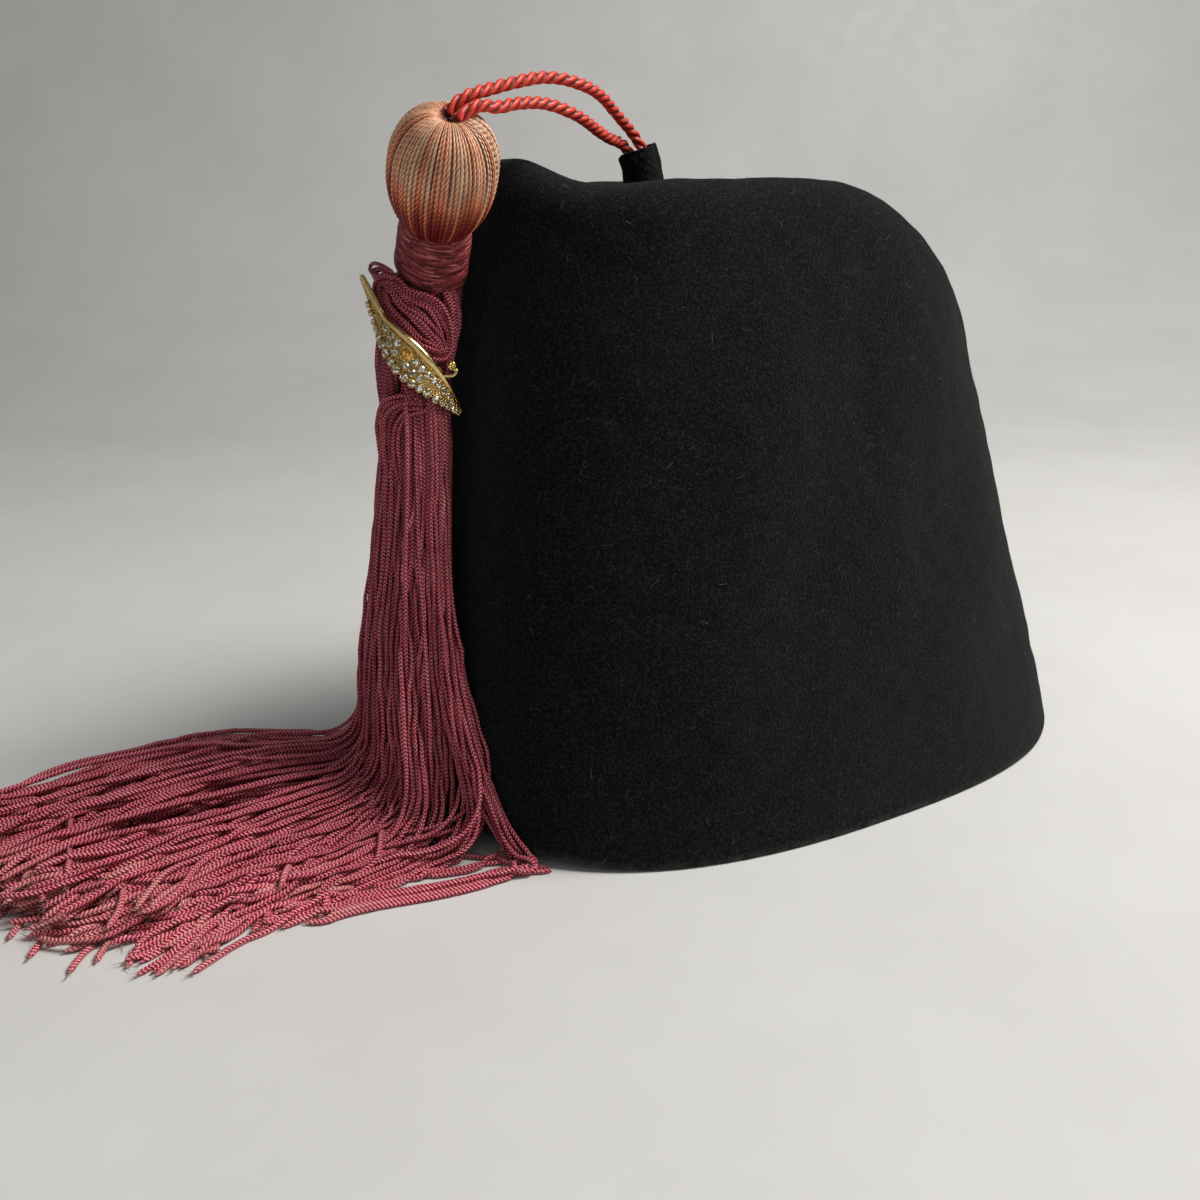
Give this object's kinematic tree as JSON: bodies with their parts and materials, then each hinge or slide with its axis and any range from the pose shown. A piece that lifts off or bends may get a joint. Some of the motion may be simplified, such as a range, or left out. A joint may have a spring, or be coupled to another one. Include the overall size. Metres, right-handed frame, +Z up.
{
  "type": "fez hat",
  "caption": "Soft oval black felt fez resting on its rim, with a felt stem, a twisted cord, a long chainette tassel laid on the surface and a paved leaf brooch on the tassel.",
  "frame": {"origin": "middle of the rim oval, on the surface that the hat rests on", "axes": "+X along the crown's long axis, from the tassel end to the other end; +Z up; +Y across the crown"},
  "size_m": [0.3242, 0.1322, 0.1823],
  "materials": {
    "felt": "black wool felt with a short nap, worn paler along the rim",
    "cord": "red twisted rayon cord",
    "head_thread": "faded salmon thread laid lengthwise, wine towards the bottom",
    "neck_thread": "fine wound wine thread",
    "chainette": "wine rayon chainette with a soft shine",
    "gilt": "polished gilt metal set with small clear stones"
  },
  "bodies": {
    "root": {"felt_crown": "felt", "felt_stem": "felt", "cord_leg_upper": "cord", "cord_leg_lower": "cord", "tassel_head": "head_thread", "tassel_neck": "neck_thread", "tassel_ruff": "chainette", "tassel_skirt": "chainette", "brooch": "gilt"}
  },
  "joints": []
}
